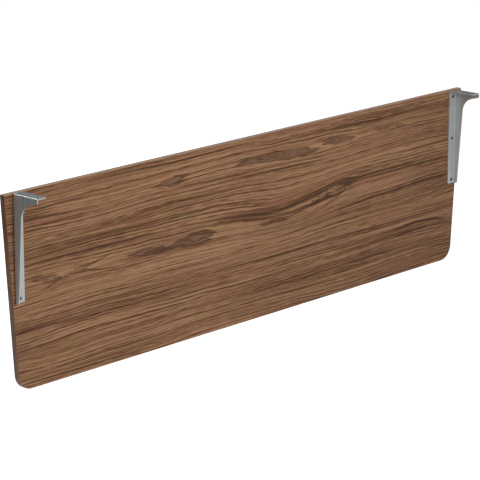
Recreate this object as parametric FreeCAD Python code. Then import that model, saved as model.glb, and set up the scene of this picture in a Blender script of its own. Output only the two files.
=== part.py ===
"""Desk modesty panel: a tapered laminated board hung from two folded sheet brackets.

Millimetres, +Z up. X runs along the panel and -Y points at the sitter. The origin is the centre of the four
desk screw holes, on the upper faces of the brackets, where the panel meets the underside of a desk top.
"""
import FreeCAD, Part
import math
import os

from FreeCAD import Vector

# Panel
panel_top_length = 1440.0
panel_height = 410.0
end_inset = 29.5
lower_corner_radius = 35.0
core_thickness = 11.1
laminate_thickness = 0.8
band_thickness = 1.0
panel_drop = 0.5

# Brackets: each is a web square to the panel, a flange on the panel and a flange under the desk
sheet_thickness = 2.7
bend_inside_radius = 0.8
bracket_inset = 22.0
bracket_height = 225.0
bracket_depth = 71.0
flange_width = 24.0
arm_tip_height = 11.0
arm_root_height = 24.0
web_waist_depth = 25.5
web_foot_depth = 11.5
web_curve_radius = 36.0
sheet_corner_radius = 2.0

# Countersunk screws that hold each bracket to the panel
screws_per_bracket = 3
top_screw_margin = 16.0
foot_screw_margin = 9.0
screw_length = 12.0
screw_head_diameter = 7.0
screw_head_height = 1.75
screw_head_rim = 0.25
screw_shank_diameter = 3.5
screw_point_length = 3.0
screw_clearance = 0.1

# Plain holes for the desk screws
desk_holes_per_bracket = 2
desk_hole_diameter = 5.5
desk_hole_panel_margin = 20.0
desk_hole_tip_margin = 16.0

# Sizes that follow from those above
panel_thickness = core_thickness + 2 * laminate_thickness
desk_hole_span = bracket_depth - desk_hole_panel_margin - desk_hole_tip_margin
desk_hole_pitch = desk_hole_span / (desk_holes_per_bracket - 1)
screw_span = bracket_height - top_screw_margin - foot_screw_margin
screw_pitch = screw_span / (screws_per_bracket - 1)
bend_outside_radius = bend_inside_radius + sheet_thickness
web_x = panel_top_length / 2 - bracket_inset
inner_face_y = desk_hole_panel_margin + desk_hole_span / 2
outer_face_y = inner_face_y + panel_thickness
end_slope = end_inset / panel_height

along_x = Vector(1, 0, 0)
along_y = Vector(0, 1, 0)
along_z = Vector(0, 0, 1)
touching = 1e-6


def edges_through(solid, points):
    """Edges of a solid that pass through the given points."""
    marks = [Part.Vertex(point) for point in points]
    return [edge for edge in solid.Edges if any(edge.distToShape(mark)[0] < touching for mark in marks)]


def filled(edges):
    """Flat face inside a closed run of edges."""
    return Part.Face(Part.Wire(edges))


def panel_blank(edge_offset, near_y, far_y):
    """Tapered board between two depths, drawn in from the finished outline by the edge offset."""
    top_z = -panel_drop - edge_offset
    bottom_z = -panel_drop - panel_height + edge_offset
    side_offset = edge_offset * math.hypot(1, end_slope)
    top_half = panel_top_length / 2 - end_slope * edge_offset - side_offset
    bottom_half = top_half - end_slope * (top_z - bottom_z)
    outline = [
        Vector(-top_half, near_y, top_z),
        Vector(top_half, near_y, top_z),
        Vector(bottom_half, near_y, bottom_z),
        Vector(-bottom_half, near_y, bottom_z),
    ]
    face = Part.Face(Part.makePolygon(outline + outline[:1]))
    board = face.extrude(along_y * (far_y - near_y))
    middle = along_y * ((far_y - near_y) / 2)
    lower_corners = edges_through(board, [point + middle for point in outline[2:]])
    return board.makeFillet(lower_corner_radius - edge_offset, lower_corners)


def screw_heights():
    """Heights of the screws on one bracket, from the top down."""
    return [-top_screw_margin - index * screw_pitch for index in range(screws_per_bracket)]


def screw_places():
    """Points on the panel's inner face where the screws enter, left bracket first."""
    screw_x = web_x - flange_width / 2
    return {
        side: [Vector(sign * screw_x, inner_face_y, height) for height in screw_heights()]
        for side, sign in (("left", -1), ("right", 1))
    }


def turned(profile):
    """Solid of revolution about +Y from (radius, distance) points; the first and last lie on the axis."""
    points = [Vector(radius, distance, 0) for radius, distance in profile]
    face = Part.Face(Part.makePolygon(points + points[:1]))
    return face.revolve(Vector(), along_y, 360)


def screw_form(clearance):
    """Countersunk screw pointing along +Y with its head face at the origin, grown by a clearance."""
    head = screw_head_diameter / 2 + clearance
    shank = screw_shank_diameter / 2 + clearance
    reach = screw_length + clearance
    return turned([
        (0, 0),
        (head, 0),
        (head, screw_head_rim),
        (shank, screw_head_height),
        (shank, reach - screw_point_length),
        (0, reach),
    ])


def screws(places, clearance=0):
    """Screws seated flush in the flange or, grown by a clearance, the room that they take."""
    form = screw_form(clearance)
    head_shift = along_y * -sheet_thickness
    return Part.makeCompound([form.translated(place + head_shift) for place in places])


def panel_layer(near_y, far_y, cutter=None):
    """One full layer of the board inside the edge bands."""
    layer = panel_blank(band_thickness, near_y, far_y)
    return layer.cut(cutter) if cutter else layer


def edge_bands():
    """Top strip, and the strip that runs down one end, along the bottom and up the other end."""
    outside = panel_blank(0, inner_face_y, outer_face_y)
    ring = outside.cut(panel_blank(band_thickness, inner_face_y, outer_face_y))
    corner = Vector(-panel_top_length / 2, inner_face_y, -panel_drop - band_thickness)
    top_zone = Part.makeBox(panel_top_length, panel_thickness, band_thickness, corner)
    return ring.common(top_zone).Solids[0], ring.cut(top_zone).Solids[0]


def folded_angle(short_leg, long_leg, across, down, length):
    """Bent sheet with one leg along `across` and one along `down`, its outer corner at the origin."""
    def at(first, second):
        return across * first + down * second

    sheet = sheet_thickness
    bend = bend_outside_radius
    bend_axis = at(bend, bend)
    diagonal = (across + down).normalize()
    outer_middle = bend_axis - diagonal * bend_outside_radius
    inner_middle = bend_axis - diagonal * bend_inside_radius
    profile = filled([
        Part.LineSegment(at(short_leg, 0), at(bend, 0)).toShape(),
        Part.Arc(at(bend, 0), outer_middle, at(0, bend)).toShape(),
        Part.LineSegment(at(0, bend), at(0, long_leg)).toShape(),
        Part.LineSegment(at(0, long_leg), at(sheet, long_leg)).toShape(),
        Part.LineSegment(at(sheet, long_leg), at(sheet, bend)).toShape(),
        Part.Arc(at(sheet, bend), inner_middle, at(bend, sheet)).toShape(),
        Part.LineSegment(at(bend, sheet), at(short_leg, sheet)).toShape(),
        Part.LineSegment(at(short_leg, sheet), at(short_leg, 0)).toShape(),
    ])
    return profile.extrude(length)


def web_outline():
    """Side outline of the bracket: a short arm that sweeps down into a narrow tapering leg."""
    corners = [
        Vector(0, 0, 0),
        Vector(0, -bracket_depth, 0),
        Vector(0, -bracket_depth, -arm_tip_height),
        Vector(0, -web_waist_depth, -arm_root_height),
        Vector(0, -web_foot_depth, -bracket_height),
        Vector(0, 0, -bracket_height),
    ]
    face = Part.Face(Part.makePolygon(corners + corners[:1]))
    block = face.extrude(along_x * flange_width)
    middle = along_x * (flange_width / 2)
    block = block.makeFillet(web_curve_radius, edges_through(block, [corners[3] + middle]))
    tip_and_foot = [corners[2] + middle, corners[4] + middle]
    return block.makeFillet(sheet_corner_radius, edges_through(block, tip_and_foot))


def left_bracket_form():
    """Left bracket with the outer corner of its web, panel face and desk face at the origin."""
    relief = bend_outside_radius
    panel_angle = folded_angle(
        flange_width, bracket_depth, along_x, -along_y, along_z * (bracket_height - relief)
    ).translated(along_z * -bracket_height)
    desk_angle = folded_angle(
        flange_width, bracket_height, along_x, -along_z, along_y * -(bracket_depth - relief)
    ).translated(along_y * -relief)
    bracket = panel_angle.fuse(desk_angle).common(web_outline()).removeSplitter()
    free_corners = [
        Vector(flange_width, -sheet_thickness / 2, -bracket_height),
        Vector(flange_width, -bracket_depth, -sheet_thickness / 2),
    ]
    return bracket.makeFillet(sheet_corner_radius, edges_through(bracket, free_corners))


def desk_hole_room():
    """Plain drilled holes through the desk flange of the left bracket."""
    radius = desk_hole_diameter / 2
    places = [
        Vector(flange_width / 2, -desk_hole_panel_margin - index * desk_hole_pitch, 0)
        for index in range(desk_holes_per_bracket)
    ]
    holes = [Part.makeCylinder(radius, sheet_thickness, place, -along_z) for place in places]
    return Part.makeCompound(holes)


def left_bracket(places):
    """Left bracket at its place on the panel, with its screw holes and desk holes."""
    drilled = left_bracket_form().cut(desk_hole_room())
    return drilled.translated(Vector(-web_x, inner_face_y, 0)).cut(screws(places, screw_clearance))


def build():
    """Every piece by its node's name."""
    places = screw_places()
    all_screw_room = screws(places["left"] + places["right"], screw_clearance)
    core_near_y = inner_face_y + laminate_thickness
    core_far_y = core_near_y + core_thickness
    top_band, side_band = edge_bands()
    left = left_bracket(places["left"])
    return {
        "panel_core": panel_layer(core_near_y, core_far_y, all_screw_room),
        "inner_laminate": panel_layer(inner_face_y, core_near_y, all_screw_room),
        "outer_laminate": panel_layer(core_far_y, outer_face_y),
        "top_edge_band": top_band,
        "side_edge_band": side_band,
        "left_bracket": left,
        "right_bracket": left.mirror(Vector(), along_x),
        "left_bracket_screws": screws(places["left"]),
        "right_bracket_screws": screws(places["right"]),
    }


os.makedirs("parts", exist_ok=True)
for name, shape in build().items():
    shape.exportStep(os.path.join("parts", name + ".step"))
    print(name, len(shape.Solids), shape.isValid(), round(shape.Volume), shape.BoundBox)
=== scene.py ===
"""Looks of a desk modesty panel: walnut laminate faces, edge strips, painted brackets and black screws."""

import math
from collections import namedtuple

import bmesh
import bpy
from bpy.props import FloatProperty, FloatVectorProperty, IntProperty, PointerProperty
from mathutils import Matrix, Vector


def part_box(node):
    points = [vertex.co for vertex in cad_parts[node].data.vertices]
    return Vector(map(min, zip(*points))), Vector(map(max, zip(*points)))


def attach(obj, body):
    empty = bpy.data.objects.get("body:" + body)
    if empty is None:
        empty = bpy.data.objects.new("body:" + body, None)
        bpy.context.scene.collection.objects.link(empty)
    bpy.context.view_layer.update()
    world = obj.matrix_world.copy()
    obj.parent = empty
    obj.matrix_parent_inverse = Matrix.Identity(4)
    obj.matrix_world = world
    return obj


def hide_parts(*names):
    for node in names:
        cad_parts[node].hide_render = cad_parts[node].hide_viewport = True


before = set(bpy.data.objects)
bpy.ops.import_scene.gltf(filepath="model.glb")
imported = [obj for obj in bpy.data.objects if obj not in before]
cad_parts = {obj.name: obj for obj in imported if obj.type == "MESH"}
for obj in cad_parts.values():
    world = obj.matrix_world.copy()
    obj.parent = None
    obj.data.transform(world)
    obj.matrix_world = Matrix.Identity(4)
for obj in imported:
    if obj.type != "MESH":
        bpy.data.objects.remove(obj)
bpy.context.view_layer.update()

bl_info = {
    "name": "Desk Modesty Panel",
    "version": (1, 0, 0),
    "blender": (4, 5, 0),
    "location": "View3D > Sidebar > Modesty Panel",
    "description": "Finishes a packed desk modesty panel and sets it in a plain studio",
    "category": "Object",
}

BODY = "root"
MILLIMETRES = 1000.0

# Figures in the walnut, in millimetres: x along the panel from its middle, z up from the desk's underside.
# The middle line of each rises by `rise` over half its length and curves up by `sag` at both ends, and its
# height grows by the share `taper` from its middle to its +x end. A flame is heartwood with a dark outline,
# its colour as strong as `amount`, and the grain parts round it. A streak is a soft band that is paler by
# `amount`, or darker where that is below 0; most are figure in the wood, but three are painted light and
# shade, each marked where it stands. A bowl lowers the grain by `amount` millimetres, or raises it where
# that is below 0.
Figure = namedtuple("Figure", "x z length height rise sag taper amount")
FLAMES = (
    Figure(-262, -56, 100, 17, 3, 0, 0.55, 0.8),
    Figure(72, -56, 258, 21, -6, -3, 0.25, 1.0),
    Figure(280, -54, 105, 17, -4, 0, -0.4, 0.9),
    Figure(450, -52, 100, 12, -3, 0, 0, 0.4),
    Figure(-520, -191, 46, 15, 2, 0, 0.3, 0.7),
    Figure(-618, -190, 100, 13, -6, 0, 0.4, 0.6),
    Figure(-325, -193, 120, 14, -4, 0, 0.3, 0.95),
    Figure(-198, -193, 130, 25, 1, 0, 0.45, 0.95),
    Figure(68, -201, 90, 11, 0, 0, 0, 0.9),
    Figure(262, -169, 130, 22, 14, 3, 0.2, 0.3),
)
FIGURE_AND_PAINTED_SHADE_STREAKS = (
    Figure(180, -190, 280, 5, 24, 10, 0, -0.5),
    Figure(275, -183, 120, 5, 22, 3, 0, -0.5),
    Figure(-50, -171, 340, 6, -18, -3, 0, -0.6),
    Figure(-40, -162, 340, 4, -17, -3, 0, -0.4),
    Figure(20, -184, 200, 22, -14, -2, 0, -0.3),
    Figure(-477, -183, 70, 4, 7, 0, 0, -0.8),
    Figure(-466, -201, 85, 4, -5, 0, 0, -0.7),
    Figure(-599, -206, 36, 4, 4, 0, 0, -0.7),
    Figure(-585, -43, 190, 4, 5, 0, 0, -0.6),
    Figure(-573, -77, 180, 4, 0, 0, 0, -0.5),
    # Painted shadow: a soft dark patch on the wood right of the left bracket's flange, below its arm, where
    # the arm's shadow falls.
    Figure(-655, -57, 90, 26, 0, 0, 0, -0.4),
    Figure(-95, -76, 220, 4, -3, 0, 0, -0.6),
    Figure(-250, -325, 220, 4, 0, 3, 0, -0.6),
    Figure(-545, -290, 120, 5, 2, 3, 0, -0.7),
    Figure(590, -65, 230, 6, 0, 0, 0, -0.35),
    Figure(560, -157, 250, 10, -3, 0, 0, -0.3),
    Figure(-285, -290, 460, 17, 0, 0, 0, -0.4),
    Figure(-640, -286, 170, 5, 4, 0, 0, -0.6),
    Figure(570, -298, 160, 5, -2, -4, 0, -1.3),
    Figure(590, -314, 180, 5, -2, -5, 0, -1.0),
    Figure(-10, -245, 80, 3, -2, 0, 0, -0.7),
    Figure(-549, -190, 60, 9, 0, 0, 0, 0.45),
    Figure(-455, -192, 150, 26, 0, 0, 0, 0.25),
    Figure(-650, -190, 120, 22, 0, 0, 0, 0.2),
    Figure(-525, -312, 260, 24, 0, 0, 0, 0.3),
    Figure(-20, -312, 140, 14, 2, 0, 0, 0.25),
    Figure(-65, -200, 170, 26, -6, 0, 0, 0.3),
    Figure(440, -188, 260, 36, 0, 0, 0, 0.2),
    Figure(0, -56, 1500, 34, 0, 0, 0, 0.14),
    Figure(0, -243, 1500, 40, 0, 0, 0, 0.1),
    Figure(300, -340, 900, 60, 0, 0, 0, -0.12),
    # Painted shade and light: the face darker towards its +x end and lighter towards its -x end, standing in
    # for the main lamp's falloff.
    Figure(640, -200, 500, 900, 0, 0, 0, -0.06),
    Figure(-230, -200, 700, 900, 0, 0, 0, 0.03),
)
BOWLS = (
    Figure(95, -192, 330, 100, 0, 0, 0, 26),
    Figure(-560, -240, 380, 110, 0, 0, 0, -7),
)

# Noise that bends the wood: its length along the panel, its height and the reach of the bend in millimetres.
Wave = namedtuple("Wave", "length height reach detail seed")
LAZY_WAVE = Wave(420, 90, 26, 1.0, 0)
RIPPLE = Wave(95, 26, 6, 2.0, 0)
FLAME_JAGS = Wave(150, 5, 75, 1.0, 5)
FLAME_WOBBLE = Wave(50, 14, 12, 2.0, 2)

# Noise that runs with the grain, its height and length in shares of a streak's.
Layer = namedtuple("Layer", "height length detail roughness seed")
BANDS = Layer(9, 3, 1.0, 0.5, 0)
GRAIN_STREAKS = Layer(1, 1, 3.0, 0.65, 0)
FIBRES = Layer(0.35, 0.06, 2.0, 0.5, 0)
ROSE_LINES = Layer(3, 0.5, 2.0, 0.5, 7)
OLIVE_PATCHES = Layer(5, 0.15, 2.0, 0.5, 13)

# Growth lines: how many lie in a streak's height, how far bands and streaks shift them, how sharp their late
# edge is, and how its strength changes over the years and, in shares of a streak's length, along the panel.
YEARS_PER_STREAK = 0.58
FIRST_YEAR = 90.0
BAND_YEARS = 6.0
STREAK_YEARS = 0.5
LATE_SHARPNESS = 3.0
YEAR_CHANGE = 0.37
YEAR_LENGTH = 0.6

# What each layer adds to the wood's tone, and the tones of its four shades from dark to pale.
BASE_TONE = 0.78
BAND_TONE = 0.8
STREAK_TONE = 2.7
FIBRE_TONE = 1.5
LATE_TONE = -1.1
HEART_TONE = -0.3
WOOD_STOPS = (0.0, 0.3, 0.6, 1.0)

# Where something starts to show and shows in full, and its largest share.
Spread = namedtuple("Spread", "start full share")
LATE_SPREAD = Spread(-0.25, 0.2, 1.0)
ROSE_SPREAD = Spread(-0.05, 0.2, 0.45)
OLIVE_SPREAD = Spread(-0.02, 0.16, 0.4)
PORE_SPREAD = Spread(0.12, 0.2, 0.35)
OUTLINE_SPREAD = Spread(0.3, 0.0, 0.7)

# Flames, by the squared distance from their middle, which is 1 on their outline.
FLAME_START = 1.1
FLAME_FULL = 0.8
FAR_FROM_FLAMES = 9.0
HEART_SHARE = 0.6

# Pores in millimetres.
PORE_LENGTH = 9.0
PORE_HEIGHT = 0.5
PORE_SEED = 3

# The outer face has its figures mirrored and moved along by a shift in millimetres.
INNER_SEED = 11.0
OUTER_SEED = 47.0
OUTER_SHIFT = 60.0

# Noise in the other finishes: the size of one feature along x, y and z in millimetres.
STRIP_GRAIN = (140, 2.2, 140)
STRIP_PATCHES = (60, 12, 60)
CHIPS = (5, 1.2, 3)
DUST = (0.7, 0.5, 0.7)
FLAKE = (0.35, 0.35, 0.35)
PEEL = (1.6, 1.6, 1.6)
CLOUD = (30, 30, 60)
WEAR = (0.8, 0.8, 0.8)

# Tones of the shades in the other finishes, and the tone about which their noise varies.
STRIP_STOPS = (0.05, 0.35, 0.6, 1.0)
CHIP_STOPS = (0.1, 0.5, 0.9)
PAINT_STOPS = (0.2, 0.8)
OXIDE_STOPS = (0.4, 0.9)
STRIP_TONE = 0.52
MIDDLE_TONE = 0.5

# Shades of the paint and of worn screws, in shares of their main colours.
PAINT_DARKER = 0.82
PAINT_LIGHTER = 1.16
WORN_LIGHTER = 2.4

# Dark line on the side strip: how far from the back it starts and is full, in millimetres, and its share.
BACK_LINE_START = 2.6
BACK_LINE_FULL = 1.6
BACK_LINE_SHARE = 0.9

# Eased edges: the gap that a seam may have in metres, and which edges are rounded.
SEAM_GAP = 1e-6
EDGE_SEGMENTS = 2
EDGE_ANGLE = math.radians(40)

# Screw in shares of its head's radius. The point's length and the thread's end are measured from the tip.
HEAD_RIM = 1 / 14
HEAD_DEPTH = 1 / 2
SHANK_RADIUS = 1 / 2
CORE_RADIUS = 0.36
POINT_LENGTH = 1.0
THREAD_END = 0.7

# Where the plain shank ends, the core starts and the thread starts below a screw's head, in rims.
SHANK_RIMS = 2
CORE_RIMS = 5
THREAD_RIMS = 6

# Thread: its foot in shares of the core's radius, and half its foot and crest in shares of the pitch.
THREAD_SINK = 0.98
THREAD_FOOT = 0.28
THREAD_CREST = 0.04

# Cross recess: a slot's width in shares of the whole width, and the floor's size in shares of the mouth's.
CROSS_WINGS = 4
SLOT_SHARE = 1 / 4
FLOOR_REACH = 0.55
FLOOR_SLOT = 0.7

# Steps round a screw and round a turn of its thread, how far each screw is turned, and its sharp edges.
ROUND_STEPS = 48
THREAD_STEPS = 24
FIRST_TURN = 0.5
NEXT_TURN = 0.9
SHARP_ANGLE = math.radians(35)

# Studio in metres: the lamps, and the dark card behind the panel.
Lamp = namedtuple("Lamp", "side place")
LAMPS = {
    "main_lamp": Lamp(1.2, (-0.5, -2.2, 0.8)),
    "back_lamp": Lamp(1.8, (0.3, 3.2, 0.5)),
    "upper_lamp": Lamp(0.6, (-1.2, 2.8, 3.0)),
}
CARD_HALF_LENGTH = 3.5
CARD_Y = 0.9
CARD_FOOT = -0.56
CARD_TOP = 0.92
CARD_COLOUR = (0.03, 0.035, 0.04, 1.0)
WHITE = (1.0, 1.0, 1.0, 1.0)
CAMERA_REACH = 200.0

# Colour sockets of a Mix node by number, because their names stand for several sockets.
MIX_FIRST = 6
MIX_SECOND = 7
MIX_RESULT = 2


def srgb(red, green, blue):
    """Scene-linear colour from 0 to 255 display values, by the standard curve."""
    def linear(value):
        share = value / 255
        return share / 12.92 if share <= 0.04045 else ((share + 0.055) / 1.055) ** 2.4
    return tuple(linear(value) for value in (red, green, blue))


def colour_property(name, description, default):
    """Colour setting that a user can change in the sidebar."""
    return FloatVectorProperty(
        name=name, description=description, default=default, subtype="COLOR", size=3, min=0.0, max=1.0
    )


class WalnutSettings(bpy.types.PropertyGroup):
    """Colours and grain sizes of the walnut laminate and its edge strips."""
    pale: colour_property("Pale wood", "Palest early wood between the streaks", srgb(168, 128, 97))
    warm: colour_property("Warm wood", "Main colour of the face", srgb(128, 90, 63))
    brown: colour_property("Brown wood", "Late wood along the streaks", srgb(98, 64, 41))
    dark: colour_property("Dark wood", "Darkest streak lines", srgb(66, 42, 27))
    rose: colour_property("Rose tint", "Pinkish lines among the warm wood", srgb(146, 102, 80))
    olive: colour_property("Olive tint", "Greenish patches among the warm wood", srgb(126, 100, 64))
    heart: colour_property("Heartwood", "Grey brown of the heart figures", srgb(88, 62, 48))
    # Top strip: the walnut's own pale tone with a painted sheen laid in, the pale reflection that its top
    # takes at a grazing view.
    top_strip_sheen: colour_property("Top strip", "Pale beige of the strip along the top", srgb(173, 147, 129))
    streak_height: FloatProperty(
        name="Streak height", description="Usual height of one grain streak",
        default=0.0037, min=0.001, max=0.03, subtype="DISTANCE", unit="LENGTH")
    streak_length: FloatProperty(
        name="Streak length", description="Usual length of one grain streak",
        default=0.65, min=0.02, max=3.0, subtype="DISTANCE", unit="LENGTH")
    roughness: FloatProperty(
        name="Roughness", description="Roughness of the satin laminate",
        default=0.42, min=0.0, max=1.0, subtype="FACTOR")
    arris: FloatProperty(
        name="Eased edge", description="Rounding of the edge strips' long corners",
        default=0.0005, min=0.0, max=0.001, subtype="DISTANCE", unit="LENGTH")


class BracketSettings(bpy.types.PropertyGroup):
    """Paint on the folded brackets."""
    paint: colour_property("Silver paint", "Colour of the brackets' powder coat", srgb(177, 180, 180))
    roughness: FloatProperty(
        name="Roughness", description="Roughness of the powder coat",
        default=0.3, min=0.0, max=1.0, subtype="FACTOR")
    metallic: FloatProperty(
        name="Metal flake", description="Share of metal flake in the paint",
        default=0.3, min=0.0, max=1.0, subtype="FACTOR")
    coat_roughness: FloatProperty(
        name="Coat roughness", description="Roughness of the clear coat over the paint",
        default=0.15, min=0.0, max=1.0, subtype="FACTOR")
    edge: FloatProperty(
        name="Sheet edge", description="Rounding of the painted sheet's edges",
        default=0.0004, min=0.0, max=0.001, subtype="DISTANCE", unit="LENGTH")


class ScrewSettings(bpy.types.PropertyGroup):
    """Countersunk screws that hold the brackets."""
    colour: colour_property("Black oxide", "Colour of the screws", (0.008, 0.008, 0.009))
    thread_pitch: FloatProperty(
        name="Thread pitch", description="Distance between thread turns",
        default=0.0014, min=0.0005, max=0.004, subtype="DISTANCE", unit="LENGTH")
    recess_width: FloatProperty(
        name="Recess width", description="Width across the cross recess",
        default=0.0042, min=0.001, max=0.006, subtype="DISTANCE", unit="LENGTH")
    recess_depth: FloatProperty(
        name="Recess depth", description="Depth of the cross recess",
        default=0.0014, min=0.0005, max=0.003, subtype="DISTANCE", unit="LENGTH")
    per_bracket: IntProperty(
        name="Screws per bracket", description="Screws down each bracket", default=3, min=1)


class StageSettings(bpy.types.PropertyGroup):
    """Plain studio and camera."""
    floor_drop: FloatProperty(
        name="Floor", description="Drop from the underside of the desk to the floor",
        default=0.71, min=0.42, max=3.0, subtype="DISTANCE", unit="LENGTH")
    floor_size: FloatProperty(
        name="Floor size", description="Side of the square floor",
        default=60.0, min=5.0, subtype="DISTANCE", unit="LENGTH")
    floor_colour: colour_property("Floor colour", "Pale studio floor", (0.55, 0.55, 0.55))
    floor_glow: FloatProperty(
        name="Floor glow", description="Added brightness of the floor as it is seen, so that it shows white",
        default=0.84, min=0.0)
    floor_shine: FloatProperty(
        name="Floor shine",
        description="Added brightness of the floor in reflections, so that it shows white",
        default=0.5, min=0.0)
    sky: FloatProperty(
        name="Room light", description="Strength of the even light in the room", default=0.3, min=0.0)
    main_lamp: FloatProperty(
        name="Main lamp", description="Power in watts of the soft lamp in front of the panel",
        default=35.0, min=0.0)
    back_lamp: FloatProperty(
        name="Back lamp", description="Power in watts of the soft lamp behind the panel",
        default=65.0, min=0.0)
    upper_lamp: FloatProperty(
        name="Upper lamp", description="Power in watts of the small lamp above and behind the panel",
        default=40.0, min=0.0)
    azimuth: FloatProperty(
        name="Camera turn", description="Turn of the camera about the vertical",
        default=math.radians(-47.042), subtype="ANGLE", unit="ROTATION")
    elevation: FloatProperty(
        name="Camera tilt", description="Tilt of the camera below level",
        default=math.radians(14.984), subtype="ANGLE", unit="ROTATION")
    lens: FloatProperty(name="Lens", description="Focal length in millimetres", default=184.83, min=10.0)
    place: FloatVectorProperty(
        name="Camera place", description="Where the camera stands",
        default=(-3.8138, -3.4712, 1.1559), size=3, subtype="TRANSLATION", unit="LENGTH")


class ModestyPanelSettings(bpy.types.PropertyGroup):
    """All settings of the modesty panel."""
    walnut: PointerProperty(type=WalnutSettings)
    bracket: PointerProperty(type=BracketSettings)
    screw: PointerProperty(type=ScrewSettings)
    stage: PointerProperty(type=StageSettings)


def settings():
    """The modesty panel's settings in this scene."""
    return bpy.context.scene.modesty_panel


def empty_tree(owner):
    """Node tree of a new material or world, with nothing in it."""
    owner.use_nodes = True
    owner.node_tree.nodes.clear()
    return owner.node_tree


def feed(socket, value):
    """Links a socket to a value that is another socket, or sets it to a plain value."""
    if isinstance(value, bpy.types.NodeSocket):
        socket.id_data.links.new(value, socket)
    else:
        socket.default_value = value


class Finish:
    """A new node material, drawn step by step."""

    def __init__(self, name):
        self.material = bpy.data.materials.new(name)
        self.tree = empty_tree(self.material)
        self.shader = self.add("ShaderNodeBsdfPrincipled")
        output = self.add("ShaderNodeOutputMaterial")
        feed(output.inputs["Surface"], self.shader.outputs["BSDF"])

    def add(self, kind, **options):
        """New node with some of its options."""
        node = self.tree.nodes.new(kind)
        for name, value in options.items():
            setattr(node, name, value)
        return node

    def surface(self, **values):
        """Sets inputs of the surface shader by name, with _ for a space."""
        for name, value in values.items():
            feed(self.shader.inputs[name.replace("_", " ")], value)

    def math(self, operation, *values, clamp=False):
        """Result of one step of arithmetic on sockets or plain values."""
        node = self.add("ShaderNodeMath", operation=operation, use_clamp=clamp)
        for socket, value in zip(node.inputs, values):
            feed(socket, value)
        return node.outputs[0]

    def weighted_sum(self, total, *parts):
        """A first value plus parts, each a pair of a value and its weight."""
        for value, weight in parts:
            total = self.math("MULTIPLY_ADD", value, weight, total)
        return total

    def place_mm(self):
        """Place on the object in millimetres, as separate x, y and z."""
        scaled = self.add("ShaderNodeVectorMath", operation="SCALE")
        feed(scaled.inputs[0], self.add("ShaderNodeTexCoord").outputs["Object"])
        feed(scaled.inputs["Scale"], MILLIMETRES)
        parts = self.add("ShaderNodeSeparateXYZ")
        feed(parts.inputs[0], scaled.outputs[0])
        return parts.outputs["X"], parts.outputs["Y"], parts.outputs["Z"]

    def noise(self, places, sizes, detail=2.0, roughness=0.5, seed=0.0):
        """Noise about 0 over two or three places, with the size of one feature along each."""
        vector = self.add("ShaderNodeCombineXYZ")
        for socket, place, size in zip(vector.inputs, places, sizes):
            feed(socket, self.math("MULTIPLY_ADD", place, 1 / size, seed))
        node = self.add("ShaderNodeTexNoise", noise_dimensions="3D")
        feed(node.inputs["Vector"], vector.outputs[0])
        feed(node.inputs["Scale"], 1.0)
        feed(node.inputs["Detail"], detail)
        feed(node.inputs["Roughness"], roughness)
        return self.math("SUBTRACT", node.outputs["Fac"], 0.5)

    def rising(self, value, start, full, share):
        """0 where a value is at its start, rising smoothly to a share where it is full."""
        node = self.add("ShaderNodeMapRange", interpolation_type="SMOOTHSTEP")
        feed(node.inputs["Value"], value)
        feed(node.inputs["From Min"], start)
        feed(node.inputs["From Max"], full)
        feed(node.inputs["To Min"], 0.0)
        feed(node.inputs["To Max"], share)
        return node.outputs[0]

    def ramp(self, tone, stops, colours):
        """Colour for a tone, from the tones at which the colours lie."""
        node = self.add("ShaderNodeValToRGB")
        elements = node.color_ramp.elements
        while len(elements) < len(colours):
            elements.new(0.5)
        for element, stop, colour in zip(elements, stops, colours):
            element.position = stop
            element.color = (*colour, 1.0)
        feed(node.inputs["Fac"], tone)
        return node.outputs["Color"]

    def mix(self, share, first, second, blend="MIX"):
        """Lays a share of a plain second colour over the first one."""
        node = self.add("ShaderNodeMix", data_type="RGBA", blend_type=blend)
        feed(node.inputs["Factor"], share)
        feed(node.inputs[MIX_FIRST], first)
        feed(node.inputs[MIX_SECOND], (*second, 1.0))
        return node.outputs[MIX_RESULT]

    def bump(self, height, distance, strength):
        """Fine relief on the surface, its height in shares of a distance in metres."""
        node = self.add("ShaderNodeBump")
        feed(node.inputs["Strength"], strength)
        feed(node.inputs["Distance"], distance)
        feed(node.inputs["Height"], height)
        feed(self.shader.inputs["Normal"], node.outputs["Normal"])


def figure_reach(finish, x, z, figure):
    """Squared distance from a figure's middle, 1 on its outline, and the height above its middle line."""
    half = figure.length / 2
    along = finish.math("MULTIPLY_ADD", x, 1 / half, -figure.x / half)
    line = finish.math("MULTIPLY_ADD", along, figure.sag, figure.rise)
    line = finish.math("MULTIPLY_ADD", line, along, figure.z)
    height = finish.math("SUBTRACT", z, line)
    share = finish.math("MULTIPLY_ADD", along, 0.5, 0.5, clamp=True)
    low_reach = figure.height * (1 - figure.taper) / 2
    reach = finish.math("MULTIPLY_ADD", share, figure.taper * figure.height, low_reach)
    across = finish.math("DIVIDE", height, reach)
    square = finish.math("MULTIPLY", along, along)
    return finish.math("MULTIPLY_ADD", across, across, square), height


def fading(finish, square):
    """1 in a figure's middle and less further out, from the squared distance."""
    return finish.math("EXPONENT", finish.math("MULTIPLY", square, -1.0))


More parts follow.
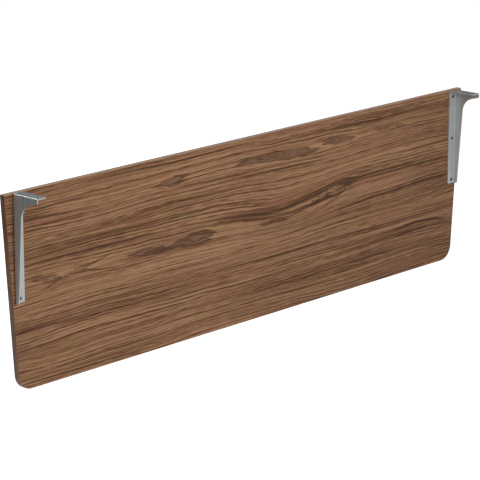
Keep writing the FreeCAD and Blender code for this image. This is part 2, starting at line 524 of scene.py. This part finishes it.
def walnut_figure(finish, x, z, seed):
    """Grain that waves, bowls and flames bend, the flames' heart and outline, and the streaks' shade, part
    of it painted light and shade.
    """
    def bend(place, wave):
        noise = finish.noise((x, z), (wave.length, wave.height), detail=wave.detail, seed=seed + wave.seed)
        return finish.weighted_sum(place, (noise, wave.reach))

    rippled = bend(z, RIPPLE)
    grain = bend(rippled, LAZY_WAVE)
    flame_x = bend(x, FLAME_JAGS)
    flame_z = bend(rippled, FLAME_WOBBLE)
    heart, nearest, shade = 0.0, FAR_FROM_FLAMES, 0.0
    for bowl in BOWLS:
        square, _ = figure_reach(finish, x, z, bowl)
        grain = finish.weighted_sum(grain, (fading(finish, square), bowl.amount))
    for flame in FLAMES:
        square, height = figure_reach(finish, flame_x, flame_z, flame)
        parting = finish.math("MULTIPLY", fading(finish, square), height)
        grain = finish.math("SUBTRACT", grain, parting)
        inside = finish.rising(square, FLAME_START, FLAME_FULL, flame.amount)
        heart = finish.math("MAXIMUM", inside, heart)
        nearest = finish.math("MINIMUM", square, nearest)
    for streak in FIGURE_AND_PAINTED_SHADE_STREAKS:
        square, _ = figure_reach(finish, x, rippled, streak)
        shade = finish.weighted_sum(shade, (fading(finish, square), streak.amount))
    off_outline = finish.math("ABSOLUTE", finish.math("SUBTRACT", nearest, 1.0))
    return grain, heart, finish.rising(off_outline, *OUTLINE_SPREAD), shade


def walnut_face(name, direction, shift, seed):
    """Flat-cut walnut: growth lines that part round dark flames, soft streaks, fine fibres and pores."""
    walnut = settings().walnut
    finish = Finish(name)
    x, _, z = finish.place_mm()
    x = finish.math("MULTIPLY_ADD", x, direction, shift)
    grain, heart, outline, shade = walnut_figure(finish, x, z, seed)
    high, long = walnut.streak_height * MILLIMETRES, walnut.streak_length * MILLIMETRES

    def with_grain(layer):
        return finish.noise(
            (grain, x), (high * layer.height, long * layer.length),
            detail=layer.detail, roughness=layer.roughness, seed=seed + layer.seed)

    bands = with_grain(BANDS)
    streaks = with_grain(GRAIN_STREAKS)
    fibres = with_grain(FIBRES)
    years = finish.weighted_sum(
        FIRST_YEAR, (grain, YEARS_PER_STREAK / high), (bands, BAND_YEARS), (streaks, STREAK_YEARS))
    year = finish.math("FLOOR", years)
    year_noise = finish.noise((year, x), (YEAR_CHANGE, long * YEAR_LENGTH), detail=1.0, seed=seed)
    late = finish.math("POWER", finish.math("FRACT", years), LATE_SHARPNESS)
    late = finish.math("MULTIPLY", late, finish.rising(year_noise, *LATE_SPREAD))
    tone = finish.weighted_sum(
        BASE_TONE, (bands, BAND_TONE), (streaks, STREAK_TONE), (fibres, FIBRE_TONE), (late, LATE_TONE),
        (heart, HEART_TONE))
    tone = finish.math("ADD", tone, shade)

    wood = finish.ramp(tone, WOOD_STOPS, (walnut.dark, walnut.brown, walnut.warm, walnut.pale))
    rose = finish.rising(with_grain(ROSE_LINES), *ROSE_SPREAD)
    wood = finish.mix(rose, wood, walnut.rose)
    olive = finish.rising(with_grain(OLIVE_PATCHES), *OLIVE_SPREAD)
    wood = finish.mix(olive, wood, walnut.olive, "COLOR")
    wood = finish.mix(finish.math("MULTIPLY", heart, HEART_SHARE), wood, walnut.heart)
    wood = finish.mix(outline, wood, walnut.dark)
    pore_noise = finish.noise((z, x), (PORE_HEIGHT, PORE_LENGTH), detail=1.0, seed=seed + PORE_SEED)
    pores = finish.rising(pore_noise, *PORE_SPREAD)
    wood = finish.mix(pores, wood, walnut.dark)

    finish.surface(
        Base_Color=wood,
        Roughness=finish.weighted_sum(walnut.roughness, (fibres, 0.25)),
        Specular_IOR_Level=0.12,
    )
    finish.bump(finish.math("SUBTRACT", fibres, pores), distance=0.00008, strength=0.4)
    return finish.material


def walnut_strip(name, shades, back_line):
    """Edge strip with grain along it, through four shades, and a share of a dark line at its back corner."""
    walnut = settings().walnut
    finish = Finish(name)
    place = finish.place_mm()
    grain = finish.noise(place, STRIP_GRAIN, detail=3.0, roughness=0.6)
    patches = finish.noise(place, STRIP_PATCHES, detail=1.0, seed=4.0)
    tone = finish.weighted_sum(STRIP_TONE, (grain, 1.1), (patches, 0.4))
    far_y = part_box("side_edge_band")[1].y * MILLIMETRES
    line = finish.rising(place[1], far_y - BACK_LINE_START, far_y - BACK_LINE_FULL, back_line)
    finish.surface(
        Base_Color=finish.mix(line, finish.ramp(tone, STRIP_STOPS, shades), walnut.dark),
        Roughness=finish.weighted_sum(walnut.roughness, (grain, 0.3)),
        IOR=1.5,
    )
    finish.bump(grain, distance=0.00006, strength=0.4)
    return finish.material


def particle_board(name):
    """Pressed wood chips of the hidden core."""
    finish = Finish(name)
    place = finish.place_mm()
    chips = finish.noise(place, CHIPS, roughness=0.6)
    dust = finish.noise(place, DUST, detail=1.0, seed=2.0)
    tone = finish.weighted_sum(MIDDLE_TONE, (chips, 1.8), (dust, 0.6))
    chip_colours = (srgb(120, 92, 62), srgb(176, 142, 100), srgb(214, 184, 140))
    finish.surface(Base_Color=finish.ramp(tone, CHIP_STOPS, chip_colours), Roughness=0.85)
    finish.bump(chips, distance=0.0003, strength=0.5)
    return finish.material


def silver_paint(name):
    """Silver powder coat with fine metal flake and a light orange-peel skin, under a clear coat."""
    bracket = settings().bracket
    finish = Finish(name)
    place = finish.place_mm()
    flake = finish.noise(place, FLAKE, detail=1.0)
    cloud = finish.noise(place, CLOUD, seed=5.0)
    peel = finish.noise(place, PEEL, detail=1.0, seed=9.0)
    tone = finish.weighted_sum(MIDDLE_TONE, (flake, 0.5), (cloud, 0.4))
    darker = tuple(value * PAINT_DARKER for value in bracket.paint)
    lighter = tuple(min(1.0, value * PAINT_LIGHTER) for value in bracket.paint)
    finish.surface(
        Base_Color=finish.ramp(tone, PAINT_STOPS, (darker, lighter)),
        Metallic=bracket.metallic,
        Coat_Weight=1.0,
        Coat_Roughness=bracket.coat_roughness,
        Roughness=finish.weighted_sum(bracket.roughness, (cloud, 0.15)),
    )
    finish.bump(peel, distance=0.00004, strength=0.5)
    return finish.material


def black_oxide(name):
    """Black oxide on the screws, a little worn and oily."""
    screw = settings().screw
    finish = Finish(name)
    wear = finish.noise(finish.place_mm(), WEAR, detail=3.0)
    tone = finish.math("ADD", wear, MIDDLE_TONE)
    worn = tuple(value * WORN_LIGHTER for value in screw.colour)
    finish.surface(
        Base_Color=finish.ramp(tone, OXIDE_STOPS, (screw.colour, worn)),
        Roughness=finish.weighted_sum(0.5, (wear, 0.3)),
        Specular_IOR_Level=0.15,
    )
    return finish.material


def give_material(node_name, material):
    """Puts one material on every slot of a CAD node."""
    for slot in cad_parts[node_name].material_slots:
        slot.material = material


def ease_edges(node_name, width):
    """Rounds the sharp edges of a CAD node by modifiers, with its own mesh left as it is."""
    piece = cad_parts[node_name]
    weld = piece.modifiers.new("Join seams", "WELD")
    weld.merge_threshold = SEAM_GAP
    bevel = piece.modifiers.new("Eased edges", "BEVEL")
    bevel.width = width
    bevel.segments = EDGE_SEGMENTS
    bevel.limit_method = "ANGLE"
    bevel.angle_limit = EDGE_ANGLE
    piece.modifiers.new("Flat faces", "WEIGHTED_NORMAL")


class MODESTY_OT_panel_faces(bpy.types.Operator):
    """Finish both laminate faces in walnut"""
    bl_idname = "modesty.panel_faces"
    bl_label = "Panel faces"

    def execute(self, context):
        give_material("inner_laminate", walnut_face("walnut_inner_face", 1.0, 0.0, INNER_SEED))
        give_material("outer_laminate", walnut_face("walnut_outer_face", -1.0, OUTER_SHIFT, OUTER_SEED))
        return {"FINISHED"}


class MODESTY_OT_panel_core(bpy.types.Operator):
    """Finish the hidden core as particle board"""
    bl_idname = "modesty.panel_core"
    bl_label = "Panel core"

    def execute(self, context):
        give_material("panel_core", particle_board("particle_board"))
        return {"FINISHED"}


class MODESTY_OT_edge_bands(bpy.types.Operator):
    """Finish the edge strips and ease their long corners"""
    bl_idname = "modesty.edge_bands"
    bl_label = "Edge strips"

    def execute(self, context):
        walnut = settings().walnut
        side_shades = (walnut.dark, walnut.brown, walnut.warm, walnut.pale)
        # The top strip's palest shades are painted sheen, so it shows lighter than the face and the side
        # strip.
        top_sheen_shades = (walnut.warm, walnut.pale, walnut.top_strip_sheen, walnut.top_strip_sheen)
        give_material("side_edge_band", walnut_strip("walnut_side_strip", side_shades, BACK_LINE_SHARE))
        give_material("top_edge_band", walnut_strip("walnut_top_strip", top_sheen_shades, 0.0))
        for node_name in ("top_edge_band", "side_edge_band"):
            ease_edges(node_name, walnut.arris)
        return {"FINISHED"}


class MODESTY_OT_brackets(bpy.types.Operator):
    """Paint both folded brackets and soften their sheet edges"""
    bl_idname = "modesty.brackets"
    bl_label = "Brackets"

    def execute(self, context):
        paint = silver_paint("silver_paint")
        for node_name in ("left_bracket", "right_bracket"):
            give_material(node_name, paint)
            ease_edges(node_name, settings().bracket.edge)
        return {"FINISHED"}


def ring(mesh, radius, depth):
    """Circle of new vertices about the screw's axis, which runs along +Y from its head."""
    turns = [math.tau * index / ROUND_STEPS for index in range(ROUND_STEPS)]
    return [mesh.verts.new((radius * math.cos(turn), depth, radius * math.sin(turn))) for turn in turns]


def cross(mesh, reach, half_slot, depth):
    """Outline of a cross recess as new vertices."""
    wing = [(reach, -half_slot), (reach, half_slot), (half_slot, half_slot)]
    outline = []
    for index in range(CROSS_WINGS):
        turn = Matrix.Rotation(math.tau * index / CROSS_WINGS, 2)
        outline += [turn @ Vector(point) for point in wing]
    return [mesh.verts.new((point.x, depth, point.y)) for point in outline]


def joined(mesh, first, second):
    """Band of faces between two closed runs of as many vertices."""
    for index, (low, high) in enumerate(zip(first, second)):
        mesh.faces.new((low, high, second[index - 1], first[index - 1]))


def closed_edges(mesh, run):
    """Edges along a closed run of vertices that already has faces on one side."""
    return [mesh.edges.get((run[index - 1], vertex)) for index, vertex in enumerate(run)]


def add_thread(mesh, core, crest, pitch, start, end):
    """Helical ridge round the core that fades in and out over its first and last turns."""
    turns = (end - start) / pitch
    rows = []
    for index in range(int(turns * THREAD_STEPS) + 1):
        turn = index / THREAD_STEPS
        across = Vector((math.cos(math.tau * turn), 0.0, math.sin(math.tau * turn)))
        foot, top = core * THREAD_SINK, core + (crest - core) * min(1.0, turn, turns - turn)
        profile = ((foot, -THREAD_FOOT), (top, -THREAD_CREST), (top, THREAD_CREST), (foot, THREAD_FOOT))
        rows.append([
            mesh.verts.new(across * radius + Vector((0.0, start + pitch * (turn + offset), 0.0)))
            for radius, offset in profile
        ])
    for first, second in zip(rows, rows[1:]):
        for index in range(len(first) - 1):
            mesh.faces.new((first[index], second[index], second[index + 1], first[index + 1]))


def screw_mesh(screw, head_radius, length):
    """Countersunk wood screw with a cross recess and a thread, its head face at the origin."""
    mesh = bmesh.new()
    rim, neck = head_radius * HEAD_RIM, head_radius * HEAD_DEPTH
    crest, core = head_radius * SHANK_RADIUS, head_radius * CORE_RADIUS
    profile = [
        (head_radius - rim / 2, 0.0),
        (head_radius, rim / 2),
        (head_radius, rim),
        (crest, neck),
        (crest, neck + rim * SHANK_RIMS),
        (core, neck + rim * CORE_RIMS),
        (core, length - head_radius * POINT_LENGTH),
        (rim / 2, length - rim / 4),
    ]
    rings = [ring(mesh, radius, depth) for radius, depth in profile]
    for first, second in zip(rings, rings[1:]):
        joined(mesh, first, second)
    tip = mesh.verts.new((0, length, 0))
    for index, vertex in enumerate(rings[-1]):
        mesh.faces.new((rings[-1][index - 1], vertex, tip))
    reach, half_slot = screw.recess_width / 2, screw.recess_width * SLOT_SHARE / 2
    mouth = cross(mesh, reach, half_slot, 0.0)
    floor = cross(mesh, reach * FLOOR_REACH, half_slot * FLOOR_SLOT, screw.recess_depth)
    joined(mesh, mouth, floor)
    mesh.faces.new(floor)
    head_edges = closed_edges(mesh, rings[0]) + closed_edges(mesh, mouth)
    bmesh.ops.triangle_fill(mesh, use_beauty=True, edges=head_edges)
    thread_start, thread_end = neck + rim * THREAD_RIMS, length - head_radius * THREAD_END
    add_thread(mesh, core, crest, screw.thread_pitch, thread_start, thread_end)
    bmesh.ops.recalc_face_normals(mesh, faces=mesh.faces)
    return mesh


def screw_row(screw, low, high):
    """Screws of one bracket, one above another inside their box, each turned its own way."""
    head_radius = (high.x - low.x) / 2
    form = screw_mesh(screw, head_radius, high.y - low.y)
    row = bmesh.new()
    for index in range(screw.per_bracket):
        share = index / max(screw.per_bracket - 1, 1)
        height = low.z + head_radius + share * (high.z - low.z - 2 * head_radius)
        place = Matrix.Translation(((low.x + high.x) / 2, low.y, height))
        turn = Matrix.Rotation(FIRST_TURN + NEXT_TURN * index, 4, "Y")
        single = bpy.data.meshes.new("screw")
        form.to_mesh(single)
        single.transform(place @ turn)
        row.from_mesh(single)
        bpy.data.meshes.remove(single)
    form.free()
    return row


class MODESTY_OT_bracket_screws(bpy.types.Operator):
    """Make the countersunk screws of both brackets with their cross recesses and threads"""
    bl_idname = "modesty.bracket_screws"
    bl_label = "Bracket screws"

    def execute(self, context):
        oxide = black_oxide("black_oxide")
        for node_name in ("left_bracket_screws", "right_bracket_screws"):
            low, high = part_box(node_name)
            row = screw_row(settings().screw, low, high)
            mesh = bpy.data.meshes.new(node_name + "_detail")
            row.to_mesh(mesh)
            row.free()
            mesh.materials.append(oxide)
            mesh.shade_smooth()
            mesh.set_sharp_from_angle(angle=SHARP_ANGLE)
            piece = bpy.data.objects.new(node_name + "_detail", mesh)
            context.scene.collection.objects.link(piece)
            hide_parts(node_name)
            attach(piece, BODY)
        return {"FINISHED"}


def seen_rays(tree, seen, reflected):
    """One strength for camera rays, one for glossy and transmission rays, and 0 for the rest."""
    path = tree.nodes.new("ShaderNodeLightPath")
    strengths = {"Is Camera Ray": seen, "Is Glossy Ray": reflected, "Is Transmission Ray": reflected}
    total = 0.0
    for name, strength in strengths.items():
        node = tree.nodes.new("ShaderNodeMath")
        node.operation = "MULTIPLY_ADD"
        for socket, value in zip(node.inputs, (path.outputs[name], strength, total)):
            feed(socket, value)
        total = node.outputs[0]
    return total


def floor_material(stage):
    """Pale floor that shows white to the camera and to reflections, and keeps the panel's shadow."""
    material = bpy.data.materials.new("pale_floor")
    tree = empty_tree(material)
    diffuse = tree.nodes.new("ShaderNodeBsdfDiffuse")
    glow = tree.nodes.new("ShaderNodeEmission")
    both = tree.nodes.new("ShaderNodeAddShader")
    output = tree.nodes.new("ShaderNodeOutputMaterial")
    feed(diffuse.inputs["Color"], (*stage.floor_colour, 1.0))
    feed(glow.inputs["Strength"], seen_rays(tree, stage.floor_glow, stage.floor_shine))
    feed(both.inputs[0], diffuse.outputs[0])
    feed(both.inputs[1], glow.outputs[0])
    feed(output.inputs["Surface"], both.outputs[0])
    return material


def card_material():
    """Dark card that metal reflects."""
    material = bpy.data.materials.new("dark_card")
    material.use_nodes = True
    shader = material.node_tree.nodes["Principled BSDF"]
    feed(shader.inputs["Base Color"], CARD_COLOUR)
    feed(shader.inputs["Roughness"], 1.0)
    return material


def white_room(stage):
    """World that looks white and lights the panel evenly at a lower level."""
    world = bpy.data.worlds.new("white_room")
    tree = empty_tree(world)
    even = tree.nodes.new("ShaderNodeBackground")
    white = tree.nodes.new("ShaderNodeBackground")
    for node, strength in ((even, stage.sky), (white, 1.0)):
        feed(node.inputs["Color"], WHITE)
        feed(node.inputs["Strength"], strength)
    mix = tree.nodes.new("ShaderNodeMixShader")
    output = tree.nodes.new("ShaderNodeOutputWorld")
    for socket, value in zip(mix.inputs, (seen_rays(tree, 1.0, 1.0), even.outputs[0], white.outputs[0])):
        feed(socket, value)
    feed(output.inputs["Surface"], mix.outputs[0])
    return world


def stage_sheet(name, corners, material):
    """Flat sheet of the stage through four corners."""
    mesh = bpy.data.meshes.new(name)
    mesh.from_pydata(corners, [], [(0, 1, 2, 3)])
    mesh.materials.append(material)
    sheet = bpy.data.objects.new(name, mesh)
    bpy.context.scene.collection.objects.link(sheet)
    return sheet


def add_floor(stage):
    """Square floor below the panel."""
    half, drop = stage.floor_size / 2, -stage.floor_drop
    corners = [(-half, -half, drop), (half, -half, drop), (half, half, drop), (-half, half, drop)]
    stage_sheet("floor", corners, floor_material(stage))


def add_dark_card():
    """Upright card behind the panel that only reflections show."""
    corners = [
        (-CARD_HALF_LENGTH, CARD_Y, CARD_FOOT),
        (CARD_HALF_LENGTH, CARD_Y, CARD_FOOT),
        (CARD_HALF_LENGTH, CARD_Y, CARD_TOP),
        (-CARD_HALF_LENGTH, CARD_Y, CARD_TOP),
    ]
    card = stage_sheet("dark_card", corners, card_material())
    card.visible_camera = card.visible_diffuse = card.visible_shadow = False


def add_soft_lamp(name, power, lamp):
    """Square lamp at its place, turned to the panel."""
    light = bpy.data.lights.new(name, "AREA")
    light.energy = power
    light.size = lamp.side
    holder = bpy.data.objects.new(name, light)
    holder.location = lamp.place
    holder.rotation_euler = Vector(lamp.place).to_track_quat("Z", "Y").to_euler()
    bpy.context.scene.collection.objects.link(holder)


def add_camera(stage):
    """Camera at the place and angles of the settings, with no roll."""
    lens = bpy.data.cameras.new("camera")
    lens.lens = stage.lens
    lens.clip_end = CAMERA_REACH
    camera = bpy.data.objects.new("camera", lens)
    camera.location = stage.place
    camera.rotation_euler = (math.pi / 2 - stage.elevation, 0.0, stage.azimuth)
    bpy.context.scene.collection.objects.link(camera)
    bpy.context.scene.camera = camera


class MODESTY_OT_stage(bpy.types.Operator):
    """Make the floor, the dark card, the white room, the lamps and the camera"""
    bl_idname = "modesty.stage"
    bl_label = "Stage"

    def execute(self, context):
        stage = settings().stage
        add_floor(stage)
        add_dark_card()
        context.scene.world = white_room(stage)
        for name, lamp in LAMPS.items():
            add_soft_lamp(name, getattr(stage, name), lamp)
        add_camera(stage)
        context.scene.view_settings.view_transform = "Standard"
        return {"FINISHED"}


class MODESTY_PT_sidebar(bpy.types.Panel):
    """Lists the modesty panel's steps and settings"""
    bl_idname = "MODESTY_PT_sidebar"
    bl_label = "Modesty Panel"
    bl_space_type = "VIEW_3D"
    bl_region_type = "UI"
    bl_category = "Modesty Panel"

    def draw(self, context):
        for step in STEPS:
            self.layout.operator(step.bl_idname)
        for group_name in ("walnut", "bracket", "screw", "stage"):
            group = getattr(settings(), group_name)
            column = self.layout.column()
            for name in group.__annotations__:
                column.prop(group, name)


STEPS = (
    MODESTY_OT_panel_faces,
    MODESTY_OT_panel_core,
    MODESTY_OT_edge_bands,
    MODESTY_OT_brackets,
    MODESTY_OT_bracket_screws,
    MODESTY_OT_stage,
)
GROUPS = (WalnutSettings, BracketSettings, ScrewSettings, StageSettings, ModestyPanelSettings)
CLASSES = (*GROUPS, *STEPS, MODESTY_PT_sidebar)


def register():
    """Adds the settings, the steps and the sidebar panel to Blender."""
    for item in CLASSES:
        bpy.utils.register_class(item)
    bpy.types.Scene.modesty_panel = PointerProperty(type=ModestyPanelSettings)


def unregister():
    """Takes the settings, the steps and the sidebar panel out again."""
    del bpy.types.Scene.modesty_panel
    for item in reversed(CLASSES):
        bpy.utils.unregister_class(item)


def main():
    """Finishes every piece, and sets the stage."""
    register()
    bpy.ops.modesty.panel_faces()
    bpy.ops.modesty.panel_core()
    bpy.ops.modesty.edge_bands()
    bpy.ops.modesty.brackets()
    bpy.ops.modesty.bracket_screws()
    bpy.ops.modesty.stage()
    bpy.context.view_layer.update()


if __name__ == "__main__":
    main()
